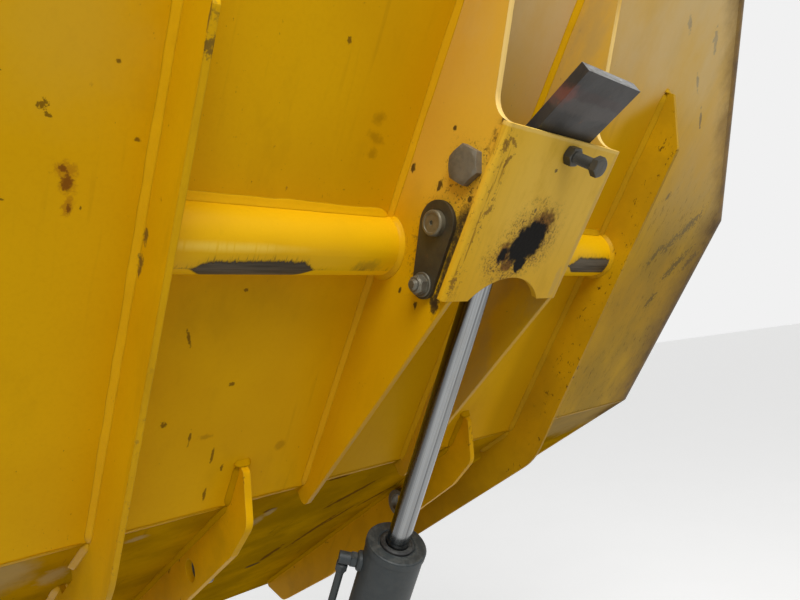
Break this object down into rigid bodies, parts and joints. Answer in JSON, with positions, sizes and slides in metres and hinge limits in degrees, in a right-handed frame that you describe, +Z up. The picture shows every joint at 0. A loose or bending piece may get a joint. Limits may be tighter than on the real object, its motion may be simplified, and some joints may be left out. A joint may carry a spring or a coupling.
{
  "type": "tipping skip with ram",
  "caption": "Front tipping skip of a site dumper, raised to tip: an open steel tub with a pouring ramp, ribs and hinge lugs below, and a ram pinned in its bracket.",
  "frame": {"origin": "on the hinge axis of the skip, midway between its two hinge lugs", "axes": "+X forward, the way the load pours, +Y to the machine's left, +Z up"},
  "size_m": [1.6495, 2.17, 2.0947],
  "materials": {
    "skip_paint": "worn gloss paint with rust and scuffs",
    "bolt_paint": "worn paint over steel",
    "bare_steel": "greased bare steel",
    "worn_steel": "dark worn steel with rust tints",
    "ram_chrome": "polished",
    "ram_paint": "semi-gloss charcoal"
  },
  "bodies": {
    "skip": {"bracket_pin": "bare_steel", "cheek_left": "skip_paint", "cheek_right": "skip_paint", "clamp_bolt": "bolt_paint", "clamp_nut": "bolt_paint", "corner_wall_left": "skip_paint", "corner_wall_right": "skip_paint", "cross_tube_left": "skip_paint", "cross_tube_right": "skip_paint", "flag_plate": "worn_steel", "flag_stud": "bare_steel", "floor_sheet": "skip_paint", "hinge_bush_left": "bare_steel", "hinge_bush_right": "bare_steel", "hinge_lug_left": "skip_paint", "hinge_lug_right": "skip_paint", "lip_bar": "skip_paint", "lock_nut": "worn_steel", "pin_boss_left": "skip_paint", "pin_boss_right": "skip_paint", "ramp_sheet": "skip_paint", "rear_wall": "skip_paint", "rib_left": "skip_paint", "rib_right": "skip_paint", "rim_corner_left": "skip_paint", "rim_corner_right": "skip_paint", "rim_rear": "skip_paint", "rim_side_left": "skip_paint", "rim_side_right": "skip_paint", "rim_wing_left": "skip_paint", "rim_wing_right": "skip_paint", "set_screw": "worn_steel", "side_wall_left": "skip_paint", "side_wall_right": "skip_paint", "stop_lever": "worn_steel", "strike_plate": "skip_paint", "wing_left": "skip_paint", "wing_right": "skip_paint"},
    "rod": {"ram_rod": "ram_chrome"},
    "barrel": {"ram_gland": "ram_paint", "ram_barrel": "ram_paint", "ram_base": "ram_paint", "ram_foot": "ram_paint", "feed_pipe": "ram_paint"}
  },
  "joints": [
    {"name": "ram_swing", "type": "hinge", "parent": "skip", "child": "rod", "pos_m": [-0.58179, 0, 0.47851], "axis": [0, 1, 0], "range_deg": [-3, 15]},
    {"name": "ram_stroke", "type": "slide", "parent": "rod", "child": "barrel", "axis": [-0.5592, 0, 0.829], "range_m": [-0.01, 0.44]}
  ]
}
